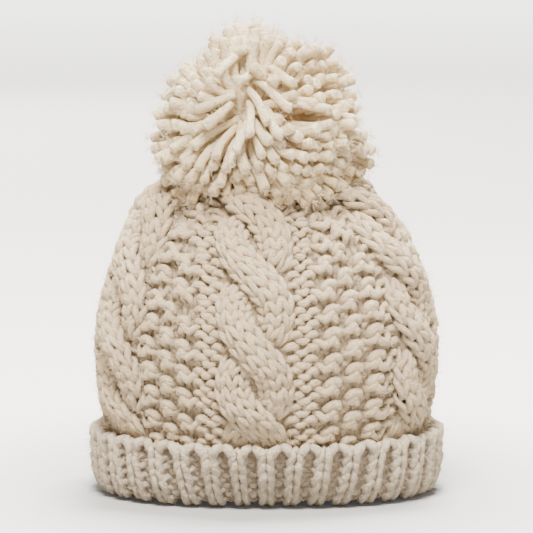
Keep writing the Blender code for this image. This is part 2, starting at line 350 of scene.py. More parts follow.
woolCream = {
    "light": (0.90, 0.735, 0.485),
    "dark": (0.72, 0.53, 0.31),
    "paintedShade": (0.51, 0.395, 0.26),  # painted shade, the colour that wool seen deep between the stitches takes
    # the darkest painted shade, on the layers behind the gaps
    "paintedDeepShade": (0.25, 0.185, 0.115),
    "paintedShadeReach": 0.85,
    "sideShade": (-0.2, 0.95),  # painted shade: the sides of a stitch darken from one of these to the other
    "proudest": 0.8,  # a stitch that stands this far out gets no painted shade
    "sunkLight": 0.35,
    "streak": 0.45,
    "cloud": 0.5,
    "darkening": (0.15, 0.95),
    "twist": 260.0,
    "roughness": 0.85,
    "gloss": 0.15,
    "fuzz": 0.2,
    "fuzzRoughness": 0.55,
    "fuzzTint": (1.0, 0.95, 0.86),
    "bump": 1.0,
    "bumpDepth": 0.0016,
}
woolRib = dict(woolCream, light=(0.92, 0.795, 0.59), dark=(0.68, 0.54, 0.365), paintedShade=(0.53, 0.42, 0.305),
               paintedDeepShade=(0.30, 0.225, 0.15))
woolPompom = dict(woolCream, light=(1.0, 0.86, 0.58), dark=(0.70, 0.515, 0.28), paintedShade=(0.68, 0.45, 0.19),
                  paintedDeepShade=(0.44, 0.29, 0.14), paintedShadeReach=1.0, streak=0.3, sideShade=(-1.2, 0.8))
woolFuzz = dict(woolCream, streak=0.0, bump=0.0, sideShade=(-2.0, -1.0))

innerWool = {  # the wool behind the gaps, a real layer of yarn painted darker as shade
    "tuftScale": 340.0,
    "tuftDetail": 4.0,
    "tuftRange": (0.38, 0.68),
    "roughness": 0.95,
    "gloss": 0.05,
    "bump": 1.0,
    "bumpDepth": 0.0025,
}

fibres = {
    "stretch": (330.0, 2.3, 2.3),  # along the yarn and across it
    "streakDetail": 5.0,
    "streakRoughness": 0.62,
    "cloudScale": 55.0,
    "cloudDetail": 3.0,
    "feltScale": 620.0,
    "feltDetail": 2.0,
    "feltHeight": 0.9,
    "fuzzScale": 1600.0,
    "fuzzDetail": 3.0,
    "fuzzHeight": 0.4,
}


def gapShadeMaterial(name, wool):
    values = {"Roughness": innerWool["roughness"], "Specular IOR Level": innerWool["gloss"]}
    material, tree, shader = newMaterial(name, values)
    place = addNode(tree, "ShaderNodeTexCoord").outputs["Object"]
    tufts = noisy(tree, place, innerWool["tuftScale"], innerWool["tuftDetail"])
    share = ranged(tree, tufts, *innerWool["tuftRange"])
    # painted shade colours, in tufts
    colour = mixed(tree, share, rgba(wool["paintedDeepShade"]), rgba(wool["paintedShade"]))
    tree.links.new(colour, shader.inputs["Base Color"])
    bumped(tree, shader, tufts, innerWool["bump"], innerWool["bumpDepth"])
    return material


def fibreGroup():
    if "woolFibre" in bpy.data.node_groups:
        return bpy.data.node_groups["woolFibre"]
    tree = bpy.data.node_groups.new("woolFibre", "ShaderNodeTree")
    for name, kind in (("Fibre", "Vector"), ("Place", "Vector"), ("Twist", "Float")):
        tree.interface.new_socket(name, in_out="INPUT", socket_type="NodeSocket" + kind)
    for name in ("Streak", "Cloud", "Height"):
        tree.interface.new_socket(name, in_out="OUTPUT", socket_type="NodeSocketFloat")
    start = addNode(tree, "NodeGroupInput").outputs
    along = addNode(tree, "ShaderNodeSeparateXYZ", {"Vector": start["Fibre"]}).outputs["X"]
    twist = calculated(tree, "MULTIPLY", along, start["Twist"])
    turned = addNode(tree, "ShaderNodeVectorRotate", {"Vector": start["Fibre"], "Angle": twist},
                     rotation_type="X_AXIS").outputs["Vector"]
    stretched = addNode(tree, "ShaderNodeVectorMath", {0: turned, 1: fibres["stretch"]},
                        operation="MULTIPLY").outputs["Vector"]
    streak = noisy(tree, stretched, 1.0, fibres["streakDetail"], fibres["streakRoughness"])
    cloud = noisy(tree, start["Place"], fibres["cloudScale"], fibres["cloudDetail"])
    fuzz = noisy(tree, start["Place"], fibres["fuzzScale"], fibres["fuzzDetail"])
    felt = noisy(tree, start["Place"], fibres["feltScale"], fibres["feltDetail"])
    lumps = calculated(tree, "MULTIPLY_ADD", felt, fibres["feltHeight"], streak)
    height = calculated(tree, "MULTIPLY_ADD", fuzz, fibres["fuzzHeight"], lumps)
    addNode(tree, "NodeGroupOutput", {"Streak": streak, "Cloud": cloud, "Height": height})
    return tree


def woolMaterial(name, wool):
    material, tree, shader = newMaterial(name, {
        "Roughness": wool["roughness"], "Specular IOR Level": wool["gloss"], "Sheen Weight": wool["fuzz"],
        "Sheen Roughness": wool["fuzzRoughness"], "Sheen Tint": rgba(wool["fuzzTint"])})
    place = addNode(tree, "ShaderNodeTexCoord").outputs["Object"]
    group = addNode(tree, "ShaderNodeGroup", node_tree=fibreGroup())
    group.inputs["Twist"].default_value = wool["twist"]
    tree.links.new(attribute(tree, "fibre", "Vector"), group.inputs["Fibre"])
    tree.links.new(place, group.inputs["Place"])
    # the shade attribute holds tone that differs at random and, under and low on the pompom, painted shade
    dark = attribute(tree, "shade")
    for name, share in (("Streak", wool["streak"]), ("Cloud", wool["cloud"])):
        dark = calculated(tree, "MULTIPLY_ADD", group.outputs[name], share, dark)
    cream = mixed(tree, ranged(tree, dark, *wool["darkening"]), rgba(wool["light"]), rgba(wool["dark"]))
    # painted shade: the sides of the yarn, and yarn that lies deep, are mixed towards the painted shade
    # colour
    sides = ranged(tree, attribute(tree, "topSide"), *wool["sideShade"], ease="SMOOTHSTEP")
    level = ranged(tree, attribute(tree, "proud"), 0.0, wool["proudest"], wool["sunkLight"])
    litShare = calculated(tree, "MULTIPLY", sides, level)
    deep = ranged(tree, litShare, 1.0, 0.0, 0.0, wool["paintedShadeReach"])
    tree.links.new(mixed(tree, deep, cream, rgba(wool["paintedShade"])), shader.inputs["Base Color"])
    bumped(tree, shader, group.outputs["Height"], wool["bump"], wool["bumpDepth"])
    return material


# Crown: six cables with purl channels and seed stitch between them

cable = {
    "angles": (-4.0, 61.0, 121.0, 180.0, 239.0, 300.0),
    "width": 34.0,
    "share": 0.72,  # of the sector, once the cables crowd together at the top
    "crossing": 34.4,  # length of knit between two crossings
    "pitHeight": 58.9,  # where the two strands lie side by side
    "rowsPerCrossing": 6,
    "strandStitches": 3,
    "strandShift": 10.0,
    "strandWidth": 17.2,
    "body": 5.2,
    "swap": 3.3,
    "sink": 0.75,  # how far the strand behind goes down, as a share of how far the other comes up
    "dive": 0.5,
    "roundness": 2.0,
    "hiddenHaste": 1.35,  # the strand behind changes sides in a stretch this much shorter
    "slant": 0.95,  # how far the stitches turn with their strand
    "steepest": 1.2,
    "slopeStep": 0.1,
    "waist": 0.22,  # how much narrower the cable is at a crossing, filled by the panel beside it
    "waistReach": 0.35,
}


def stitch(width, halfHeight, bulge, depth, thick, **other):
    kind = {"spread": 1.0, "tilt": 0.0, "rise": 0.0, "legs": 1.0, "window": (0, 0.5, 0.5, 1), "pinch": 0.3,
            "early": (0.5, 1.0), "change": (0.5, 1.0), "samples": 14}
    return dict(kind, width=width, halfHeight=halfHeight, bulge=bulge, depth=depth, thick=thick, **other)


stitches = {  # widths are those of an unsqueezed stitch
    "cable": stitch(5.4, 4.9, 1.45, 1.4, 1.78, pinch=0.5),
    "purl": stitch(7.4, 4.6, 1.5, 1.45, 1.9, tilt=0.2, window=(0.05, 0.45, 0.55, 0.95)),
    "seedKnit": stitch(11.6, 5.1, 1.9, 2.0, 2.25, spread=1.3, tilt=0.2, rise=0.5, legs=-0.8,
                       window=(0.22, 0.42, 0.8, 1.0), samples=18),
    "seedPurl": stitch(11.6, 6.9, 2.45, 2.0, 2.35, spread=2.2, tilt=0.16, rise=0.5, legs=0.8,
                       window=(0.0, 0.2, 0.52, 0.70), early=(0.76, 0.98), change=(0.86, 1.0), samples=18),
    "rib": stitch(9.4, 4.3, 1.5, 1.0, 2.0, window=(0, 0.35, 0.65, 1)),
    "valley": stitch(5.6, 3.7, 1.0, 0.8, 1.4, spread=0.9, rise=-0.8),
}
purl, tightPurl, seeds = ("purl", 5.3), ("purl", 3.5), (("seed", 8.0),) * 3
panels = (  # stitches after each cable, with their widths in degrees where the hat is fullest
    (purl, purl, ("seed", 8.0), ("seed", 8.2), ("seed", 8.4), ("purl", 5.0)),
    (tightPurl, *seeds, purl, tightPurl),
    (tightPurl, *seeds, purl, purl),
    (purl, purl, *seeds, tightPurl),
    (tightPurl, *seeds, purl, tightPurl),
    (("purl", 1.8), ("seed", 7.1), ("seed", 7.1), ("seed", 7.1), purl, purl),
)
crownKnit = {
    "middle": -3.2,  # depth of the middle of the knit under the ground
    "rowWave": 0.35,
    "waveAcross": 0.37,  # from stitch to stitch, and from row to row
    "waveUp": 1.9,
    "tightest": 0.72,  # share of its own width that a stitch is squeezed to before one is left out
    "squeezed": (0.2, 1.1),  # the yarn is thinner in squeezed stitches, between these shares of their width
    "thinning": 0.6,
    "depthSway": 0.6,
    "unevenShade": 0.25,
    "gatherHole": 0.5,
    "backing": (-3.3, -3.9),
    "backingSwell": 2.6,  # under a cable
    "backingReach": 1.2,
    "shadeFrom": 127.0,  # painted shade: the stitches darken from this height up to the pompom
    "shadeOver": 15.0,
    "shadeMost": 0.6,
}


def lengthAt(surface, height):
    return np.interp(height, surface["height"], surface["length"])


def sectorOf(k):
    angles = cable["angles"]
    return (angles[(k + 1) % len(angles)] - angles[k % len(angles)]) % fullTurn


def cableHalfAngle(surface, length, sector=math.inf):
    radius = np.maximum(read(surface, "radius", length), 1.0)
    return np.minimum(np.degrees(cable["width"] / 2 / radius), cable["share"] * sector / 2)


def kindOf(column, facing):
    if column["kind"] == "seed":
        return stitches["seedKnit" if facing > 0 else "seedPurl"]
    return stitches[column["kind"]]


def panelAt(surface, length, k):  # fewer stitches where the hat narrows, as a knitter decreases
    sector = sectorOf(k)
    room = sector - 2 * cableHalfAngle(surface, length, sector)
    room = float(np.radians(room) * read(surface, "radius", length))
    kept = [(kind, width, kindOf({"kind": kind}, 1)["width"]) for kind, width in panels[k]]
    while len(kept) > 1 and sum(own for _, _, own in kept) * crownKnit["tightest"] > room:
        kept.pop(len(kept) // 2)
    return [(kind, width) for kind, width, _ in kept]


def crownColumns(surface, length):
    columns = []
    for c in range(len(panels)):
        columns += [{"kind": "cable", "sector": c, "place": k} for k in range(2 * cable["strandStitches"])]
        panel = panelAt(surface, length, c)
        total, start = sum(w for _, w in panel), 0.0
        for k, (kind, width) in enumerate(panel):
            columns.append({"kind": kind, "sector": c, "place": k,
                            "from": start / total, "to": (start + width) / total})
            start += width
    return columns


def facingOf(column, row):
    if column["kind"] == "seed":
        return 1 if (row + column["place"]) % 2 else -1
    return {"cable": 1, "purl": -1, "rib": 1, "valley": -1}[column["kind"]]


def handOf(column):
    panel = column["sector"]
    if column["kind"] == "cable" and column["place"] < cable["strandStitches"]:
        panel = (panel - 1) % len(panels)
    return 1 if panel < len(panels) / 2 else -1


def roundPart(across):
    return np.clip(1.0 - np.abs(across) ** cable["roundness"], 0.0, None)


def underway(local):  # 0 to 1 while the strand behind passes from one side to the other
    return eased((local / math.pi - np.floor(local / math.pi) - 0.5) * cable["hiddenHaste"] + 0.5)


def strandPlace(local):  # -1 to 1 across the cable. The strand passes behind in the first half turn
    return np.where(np.floor(local / math.pi) % 2 == 0, 2 * underway(local) - 1, -np.cos(local))


def placeCable(surface, column, phase, length, x, y):
    left, place = column["place"] < cable["strandStitches"], column["place"] % cable["strandStitches"]
    strand = 0.0 if left == (math.cos(phase) > 0) else math.pi
    local = phase + math.pi * y / cable["crossing"] + strand
    step, steepest = cable["slopeStep"], cable["steepest"]
    slope = (strandPlace(local + step) - strandPlace(local - step)) / (2 * step)
    slope = np.clip(slope * cable["strandShift"] * math.pi / cable["crossing"], -steepest, steepest)
    turn = np.arctan(slope * cable["slant"])
    offset = x + (place - 1) * stitches["cable"]["width"]
    across = cable["strandShift"] * strandPlace(local) + offset * np.cos(turn)
    along = length + y - offset * np.sin(turn)
    half = np.where(across < 0, cableHalfAngle(surface, along, sectorOf(column["sector"] - 1)),
                    cableHalfAngle(surface, along, sectorOf(column["sector"])))
    angle = cable["angles"][column["sector"]] + across / (cable["width"] / 2) * half
    rounded = cable["body"] * roundPart(offset / (cable["strandWidth"] / 2))
    crossing = underway(local)
    sunk = cable["sink"] * np.sin(local) ** 2 + cable["dive"] * 4 * crossing * (1 - crossing)
    lift = np.where(np.sin(local) > 0, -sunk, -np.sin(local))
    rise = read(surface, "relief", along) * (rounded + cable["swap"] * lift)
    scale = half * np.radians(1) * read(surface, "radius", along) / (cable["width"] / 2)
    return angle, along, rise, scale


def placePanel(surface, column, kind, length, x, y):
    along = length + y
    sector = sectorOf(column["sector"])
    half = cableHalfAngle(surface, along, sector)
    room = sector - 2 * half
    low, high = half + room * column["from"], half + room * column["to"]
    share = 0.5 + x / kind["width"]
    across = column["from"] + (column["to"] - column["from"]) * share
    pit = lengthAt(surface, cable["pitHeight"])
    waist = cable["waist"] * np.sin(math.pi * (along - pit) / cable["crossing"]) ** 2 * half
    angle = cable["angles"][column["sector"]] + low + (high - low) * share
    angle = angle + waist * (np.clip(across / cable["waistReach"] - 1, -1, 0)
                             + np.clip(1 - (1 - across) / cable["waistReach"], 0, 1))
    width = np.radians(high - low) * read(surface, "radius", along)
    return angle, along, kind["rise"] * read(surface, "relief", along), width / kind["width"]


def buildCrown(material):
    surface = surfaceOf(crownProfile)
    rowHeight = cable["crossing"] / cable["rowsPerCrossing"]
    pit = lengthAt(surface, cable["pitHeight"])
    first = (pit - rowHeight / 2) % rowHeight
    rows = int((surface["length"][-1] - first) / rowHeight)
    total = surface["length"][-1] - crownKnit["gatherHole"]
    courses = []
    for row in range(rows):
        length = first + row * rowHeight
        columns = crownColumns(surface, length)
        count = len(columns)
        phase = math.pi * (length - pit) / cable["crossing"]
        facing = [facingOf(c, row) for c in columns]
        above = [facingOf(c, row + 1) for c in columns]
        wave = np.arange(count) * crownKnit["waveAcross"] + row * crownKnit["waveUp"]
        wave = crownKnit["rowWave"] * np.sin(wave)
        course = newCourse()
        for k, column in enumerate(columns):
            kind = kindOf(column, facing[k])
            x, y, front = loopPath(kind, facing[k], above[k], facing[k - 1], facing[(k + 1) % count],
                                   handOf(column))
            sway = chance.normal(0, yarn["sway"], 3)
            x, y = x + sway[0], y + sway[1] + wave[k]
            if column["kind"] == "cable":
                angle, along, rise, scale = placeCable(surface, column, phase, length, x, y)
            else:
                angle, along, rise, scale = placePanel(surface, column, kind, length, x, y)
            along = np.clip(along, 0.0, total)
            depth = crownKnit["middle"] + rise + kind["depth"] * front + crownKnit["depthSway"] * sway[2]
            points = pointOn(surface, angle, along, depth)
            # painted shade under the pompom: it darkens the stitches and lowers their proud share
            under = (points[:, 2] - crownKnit["shadeFrom"]) / crownKnit["shadeOver"]
            under = crownKnit["shadeMost"] * eased(under)
            squeezed = np.clip(scale, *crownKnit["squeezed"]) ** crownKnit["thinning"]
            course["points"].append(points)
            course["outward"].append(outwardOn(surface, angle, along))
            course["thick"].append(thickness(kind, front) * squeezed)
            course["shade"].append(under + chance.uniform(0, crownKnit["unevenShade"]))
            course["proud"].append((0.5 + 0.5 * front) * (1 - under))
        courses.append(joined(course))
    pieces = [fuzzHairs("crownFuzz", courses, fuzz["onCrown"], fuzzWool, fuzz["underPompom"])]
    third = math.ceil(rows / 3)
    for k, name in enumerate(("crownKnitLow", "crownKnitMiddle", "crownKnitTop")):
        part = courses[k * third:(k + 1) * third]
        pieces.append(sweptYarn(name, part, True, material, yarn["sides"]))
    pieces.append(backing("crownGaps", surface, woolCream, crownKnit["backing"], 0.0, total, cableSwell))
    return pieces


def cableSwell(surface, angle, length):
    away = min(abs((angle - a + fullTurn / 2) % fullTurn - fullTurn / 2) for a in cable["angles"])
    swell = 1 - (away / (crownKnit["backingReach"] * cableHalfAngle(surface, length))) ** 2
    return crownKnit["backingSwell"] * read(surface, "relief", length) * np.clip(swell, 0, None)


gapLayer = {"rows": 26, "around": 216}


def backing(name, surface, wool, depths, start, end, swell):  # the knit's own yarn behind its gaps, painted darker as shade
    lengths = np.linspace(start, end, gapLayer["rows"])
    lengths = np.concatenate([lengths, lengths[::-1]])
    depth = np.repeat(depths, gapLayer["rows"])
    around, along = gapLayer["around"], len(lengths)
    angles = np.arange(around) * fullTurn / around
    points = np.concatenate([pointOn(surface, np.full(along, a), lengths,
                                     depth + swell(surface, a, lengths)) for a in angles])
    faces = [(a * along + s, b * along + s, b * along + q, a * along + q)
             for a in range(around) for s in range(along)
             for b, q in [((a + 1) % around, (s + 1) % along)]]
    mesh = bpy.data.meshes.new(name)
    mesh.from_pydata((points * mm).tolist(), [], faces)
    mesh.materials.append(gapShadeMaterial(name, wool))
    mesh.shade_smooth()
    return placed(name, mesh)


# Cuff

cuffKnit = {
    "ribs": 36,
    "ribAngle": 6.3,
    "rowHeight": 4.95,
    "firstRow": 5.6,
    "relief": 1.9,
    "foldRelief": 0.14,  # share of the relief that is left where the band is folded
    "foldReach": 7.0,
    "valleyProud": 0.0,  # the stitches between two ribs take the full painted shade
    "lean": -0.35,  # the stitches' tops lean, so that one leg of each is steeper
    "depthSway": 0.5,
    "unevenShade": 0.25,
    "backing": (0.3, -0.3),
    "backingStart": 2.0,
    "backingEnd": 1.0,
    "castOnShade": 0.2,
    "castOnProudest": 2.0,
}
castOn = {  # the yarn's way past one rib, in millimetres from its middle and down from the edge
    "across": (-7.0, -5.6, -4.1, -2.9, -2.3, -1.4, 0, 1.4, 2.3, 2.9, 4.1, 5.6),
    "down": (1.0, 0.7, 1.5, 3.6, 5.6, 3.4, 2.0, 3.4, 5.6, 3.6, 1.5, 0.7),
    "front": (-0.6, 1.2, 2.4, 2.2, -0.6, 0.2, 1.9, 0.2, -0.6, 2.2, 2.4, 1.2),
    "thick": (1.7, 2.2, 2.35, 2.2, 1.7, 1.7, 1.9, 1.7, 1.7, 2.2, 2.35, 2.2),
}


def castOnEdge(surface, pitch):
    way = {key: np.array(values) for key, values in castOn.items()}
    reach = pitch / 2 / -castOn["across"][0]
    course = newCourse()
    for rib in range(cuffKnit["ribs"]):
        sway = chance.normal(0, yarn["sway"], 2)
        angle = pitch * rib + way["across"] * reach
        down = way["down"] + sway[0]
        course["points"].append(pointOn(surface, angle, down, way["front"] + sway[1]))
        course["outward"].append(outwardOn(surface, angle, down))
        course["thick"].append(way["thick"])
        course["shade"].append(np.full(len(angle), chance.uniform(0, cuffKnit["castOnShade"])))
        course["proud"].append(np.clip(way["front"] / cuffKnit["castOnProudest"], 0, 1))
    return joined(course)


def ribRise(surface, angle, length):
    above = read(surface, "height", length) - min(cuffProfile["height"])
    fold = np.exp(-((above / cuffKnit["foldReach"]) ** 2))
    relief = cuffKnit["relief"] * (1 - (1 - cuffKnit["foldRelief"]) * fold)
    return relief * np.cos(np.radians(angle * cuffKnit["ribs"]))


def buildCuff(material):
    surface = surfaceOf(cuffProfile, facing=-1.0)
    pitch = fullTurn / cuffKnit["ribs"]
    columns = [{"kind": kind, "rib": rib} for rib in range(cuffKnit["ribs"]) for kind in ("rib", "valley")]
    courses = []
    total = surface["length"][-1]
    rows = int((total - cuffKnit["firstRow"]) / cuffKnit["rowHeight"]) + 1
    for row in range(rows):
        length = cuffKnit["firstRow"] + row * cuffKnit["rowHeight"]
        course = newCourse()
        for column in columns:
            kind = stitches[column["kind"]]
            facing = facingOf(column, 0)
            x, y, front = loopPath(kind, facing, facing, -facing, -facing, 0)
            sway = chance.normal(0, yarn["sway"], 3)
            lean = cuffKnit["lean"] * y / kind["halfHeight"]
            x, y = x + lean + sway[0], y + sway[1]
            if column["kind"] == "rib":
                middle, width, proud = pitch * column["rib"], cuffKnit["ribAngle"], 1.0
            else:
                middle, width = pitch * (column["rib"] + 0.5), pitch - cuffKnit["ribAngle"]
                proud = cuffKnit["valleyProud"]
            angle = middle + width * x / kind["width"]
            along = np.clip(length + y, 0, total)
            rise = kind["rise"] + ribRise(surface, angle, along)
            depth = rise + kind["depth"] * front + cuffKnit["depthSway"] * sway[2]
            course["points"].append(pointOn(surface, angle, along, depth))
            course["outward"].append(outwardOn(surface, angle, along))
            course["thick"].append(thickness(kind, front))
            course["shade"].append(np.full(len(x), chance.uniform(0, cuffKnit["unevenShade"])))
            course["proud"].append((0.5 + 0.5 * front) * proud)
        courses.append(joined(course))
    half = (rows + 1) // 2
    courses.insert(0, castOnEdge(surface, pitch))
    return [fuzzHairs("cuffFuzz", courses, fuzz["onCuff"], fuzzWool),
            sweptYarn("cuffRibOutside", courses[:half + 1], True, material, yarn["sides"]),
            sweptYarn("cuffRibInside", courses[half + 1:], True, material, yarn["sides"]),
            backing("cuffGaps", surface, woolRib, cuffKnit["backing"], cuffKnit["backingStart"],
                    total - cuffKnit["backingEnd"], ribRise)]


# Fuzz

fuzz = {
    "onCrown": 6000,
    "onCuff": 2500,
    "onPompom": 10000,
    "shortest": 1.5,
    "longest": 4.6,
    "thick": 0.09,
    "tipShare": 0.5,
    "sides": 3,
    "proudest": 0.5,  # hairs grow on yarn that stands out more than this
    "lowest": 6.0,
    "floor": 0.5,  # no hair reaches lower
    "underPompom": 130.0,
    "wild": 0.75,
    "alongYarn": 0.5,
    "leastOut": 0.3,
    "rootLean": 0.6,
    "rootDepth": 0.85,
    "curl": 0.6,
}


def fuzzHairs(name, courses, count, material, highest=math.inf):
    along = np.concatenate([np.gradient(c["points"], axis=0) for c in courses])
    points, outward, thick, proud = (np.concatenate([c[key] for c in courses])
                                     for key in ("points", "outward", "thick", "proud"))
    high = (points[:, 2] > fuzz["lowest"]) & (points[:, 2] < highest)
    paths = []
    for k in chance.choice(np.flatnonzero((proud > fuzz["proudest"]) & high), count):
        wild = chance.normal(0, fuzz["wild"], (2, 3))
        lean = unit(outward[k] + fuzz["alongYarn"] * chance.uniform(-1, 1) * unit(along[k]) + wild[0])
        lean = unit(lean + outward[k] * max(fuzz["leastOut"] - float(np.dot(lean, outward[k])), 0))
        size = chance.uniform(fuzz["shortest"], fuzz["longest"])
        start = points[k] + unit(outward[k] + fuzz["rootLean"] * lean) * thick[k] * fuzz["rootDepth"]
        hair = np.stack([start, start + size * unit(lean + fuzz["curl"] * wild[1])])
        hair[:, 2] = np.maximum(hair[:, 2], fuzz["floor"])
        paths.append({"points": hair, "outward": np.repeat(outward[k][None], 2, 0), "shade": np.zeros(2),
                      "thick": fuzz["thick"] * np.array([1.0, fuzz["tipShare"]]), "proud": np.ones(2)})
    return sweptYarn(name, paths, False, material, fuzz["sides"])


# Pompom

pompom = {
    "middle": (-3.0, -10.0, 163.0),
    "radius": 50.0,
    "rise": 57.0,
    "fullness": 2.45,
    "droop": 0.0044,
    "tuck": 0.32,
    "tuckStart": 0.2,
    "strands": 760,  # round the whole ball, before those under it are left out
    "scatter": 0.03375,
    "lowest": -0.44,
    "crownFrom": 120.0,  # the crown above this height carries the strands
    "overCrown": 3.3,
    "mostLift": 2.2,
    "rootShare": 0.22,
    "rootThick": 1.9,
    "tipThick": 2.65,
    "tipSwell": 0.09,
    "points": 14,
    "roundSteps": 3,
    "blunt": 0.5,
    "bluntness": 2.8,
    "endShare": 0.04,
    "uneven": 3.4,
    "stray": 0.075,
    "apart": 6.7,  # the ends push each other this far apart
    "pushes": 12,
    "push": 0.35,
    "bend": 1.5,
    "sway": 2.1,  # whole tufts bend together
    "swayLength": 30.0,
    "swayMost": 1.2,
    "swayMix": (1.3, 1.2),  # so that the waves don't match
    "swayStarts": (0.6, 2.1, 4.4),
    "part": (-0.25, -0.74, 0.62),  # strands are pushed aside here and show their sides
    "partDepth": 0.80,  # share of the way out that their roots are seen at
    "partLayers": 0.42,  # how much deeper the roots of the farther strands lie
    "partReach": 0.9,
    "partWidth": 0.42,
    "cleared": 0.34,
    "core": 0.64,  # share of the way out that the inner yarn fills
    "coreSides": 40,
    "coreRings": 24,
    "deep": 0.60,  # share of the way out where the yarn takes full painted shade, and where none
    "cream": 1.06,
    "sides": 8,
    "shade": (-0.25, 0.05),
    "lowShade": 0.7,  # painted shade: how much darker the yarn is low on the ball, from which depth and over how much
    "lowShadeStart": 12.0,
    "lowShadeReach": 40.0,
}
frontStrands = {  # the yarn ends that lie over the parting, seen from the front
    "rootAcross": (-7, -17, -2, 1, -5, -6, -12, 8, -10, -16, -16, -18, -8, -21, -3, 3),
    "rootHeight": (211, 214, 196, 192, 199, 196, 194, 188, 187, 192, 191, 187, 184, 180, 186, 201),
    "tipAcross": (-22, -6, -6, 2, -15, 9, 0, 26, -6, -44, -38, -29, -12, -43, 9, 13),
    "tipHeight": (202, 209, 203, 200, 197, 188, 183, 188, 178, 194, 186, 175, 168, 176, 176, 199),
    "over": (3, 2, 4, 4, 5, 3, 4, 1, 4, 0, 1, 1, 3, 0, 3, 3),
}
frontShape = {
    "rootDepth": 0.8,
    "sag": 0.15,
    "bend": 0.8,
    "rounds": 12,  # of looking for the ball's front
    "highest": 0.97,
    "thinnest": 2.0,
}


def ballReach(direction):
    flat = np.hypot(direction[..., 0], direction[..., 1]) / pompom["radius"]
    up = np.abs(direction[..., 2]) / pompom["rise"]
    tuck = 1.0 - pompom["tuck"] * np.clip(pompom["tuckStart"] - direction[..., 2], 0.0, None)
    return tuck * (flat ** pompom["fullness"] + up ** pompom["fullness"]) ** (-1.0 / pompom["fullness"])


def fallen(point):  # how far the ball droops here
    side = np.hypot(point[..., 0] - pompom["middle"][0], point[..., 1])
    return np.stack([0 * side, 0 * side, pompom["droop"] * side**2], axis=-1)


def liftOverCrown(points):
    crown = surfaceOf(crownProfile)
    top = crown["height"] > pompom["crownFrom"]
    side = np.hypot(points[:, 0] - pompom["middle"][0], points[:, 1])
    ground = np.interp(-side, -crown["radius"][top], crown["height"][top])
    return np.clip(ground + pompom["overCrown"] - points[:, 2], 0, None)


def frontOfBall(across, height):
    x, depth = across - pompom["middle"][0], pompom["middle"][1] - pompom["radius"]
    for _ in range(frontShape["rounds"]):  # the ball droops, and more so farther out
        up = abs(height + pompom["droop"] * (x**2 + depth**2) - pompom["middle"][2]) / pompom["rise"]
        up = min(up, frontShape["highest"])
        flat = pompom["radius"] * (1 - up ** pompom["fullness"]) ** (1 / pompom["fullness"])
        front = math.sqrt(max(flat**2 - x**2, frontShape["thinnest"] ** 2))
        depth = 0.5 * depth + 0.5 * (pompom["middle"][1] - front)
    return np.array([across, depth, height])


def cutStrand(root, tip, bend):
    thickTip = pompom["tipThick"] * (1 + chance.normal(0, pompom["tipSwell"]))
    rounding = np.sin(np.linspace(0, math.pi / 2, pompom["roundSteps"] + 1)[1:])
    blunt = pompom["blunt"] * thickTip / np.linalg.norm(tip - root)
    share = np.linspace(0, 1 - blunt, pompom["points"])
    share = np.concatenate([share, share[-1] + blunt * rounding])
    thick = pompom["rootThick"] + (thickTip - pompom["rootThick"]) * share
    end = np.clip(1 - rounding ** pompom["bluntness"], pompom["endShare"], 1)
    thick[-pompom["roundSteps"]:] *= end ** (1 / pompom["bluntness"])
    points = root + (tip - root) * share[:, None] + bend * (np.sin(math.pi * share) * share)[:, None]
    return points, thick


def pushedApart(tips, room):
    for _ in range(pompom["pushes"]):
        between = tips[:, None] - tips[None]
        far = np.linalg.norm(between, axis=2) + 10.0 * np.eye(len(tips))  # no end pushes itself
        push = np.clip(room - far, 0, None) / far
        tips = unit(tips + pompom["push"] * (between * push[:, :, None]).sum(axis=1))
    return tips


def swayed(points, middle):
    x, y, z = ((points - middle) / pompom["swayLength"] * math.pi).T
    a, b = pompom["swayMix"]
    sway = np.sin(np.stack([y + a * z, z + x, x - b * y], axis=-1) + pompom["swayStarts"])
    share = np.linalg.norm(points - middle, axis=1, keepdims=True) / pompom["radius"]
    return points + pompom["sway"] * sway * np.clip(share, 0, pompom["swayMost"]) ** 2


def ballStrands(middle):  # spread evenly round the ball, then pushed aside from the parting
    k = np.arange(pompom["strands"])
    up = 1 - (2 * k + 1) / pompom["strands"]
    turn = k * math.pi * (3 - math.sqrt(5))
    flat = np.sqrt(1 - up**2)
    outward = np.stack([flat * np.cos(turn), flat * np.sin(turn), up], axis=-1)
    outward = unit(outward + chance.normal(0, pompom["scatter"], outward.shape))
    part = unit(np.array(pompom["part"]))
    toPart = np.arccos(np.clip(outward @ part, -1, 1))
    kept = (outward[:, 2] > pompom["lowest"]) & (toPart > pompom["cleared"])
    outward, toPart = outward[kept], toPart[kept][:, None]
    away = unit(outward - part * (outward @ part)[:, None])
    pulled = np.exp(-((toPart / pompom["partReach"]) ** 2))
    wider = np.hypot(toPart, pompom["partWidth"] * pulled)
    tips = part * np.cos(wider) + away * np.sin(wider)
    tips = unit(tips + chance.normal(0, pompom["stray"], outward.shape))
    tips = pushedApart(tips, pompom["apart"] / pompom["radius"])
    long = ballReach(tips) + chance.uniform(-1, 1, len(tips)) * pompom["uneven"]
    depth = pompom["partDepth"] - pompom["partLayers"] * np.clip(toPart - pompom["cleared"], 0, 1)
    roots = (tips * pompom["rootShare"] * long[:, None] * (1 - pulled)
             + part * depth * ballReach(part) * pulled)
    return [(middle + root, middle + tip * reach, chance.normal(0, pompom["bend"], 3))
            for root, tip, reach in zip(roots, tips, long)]


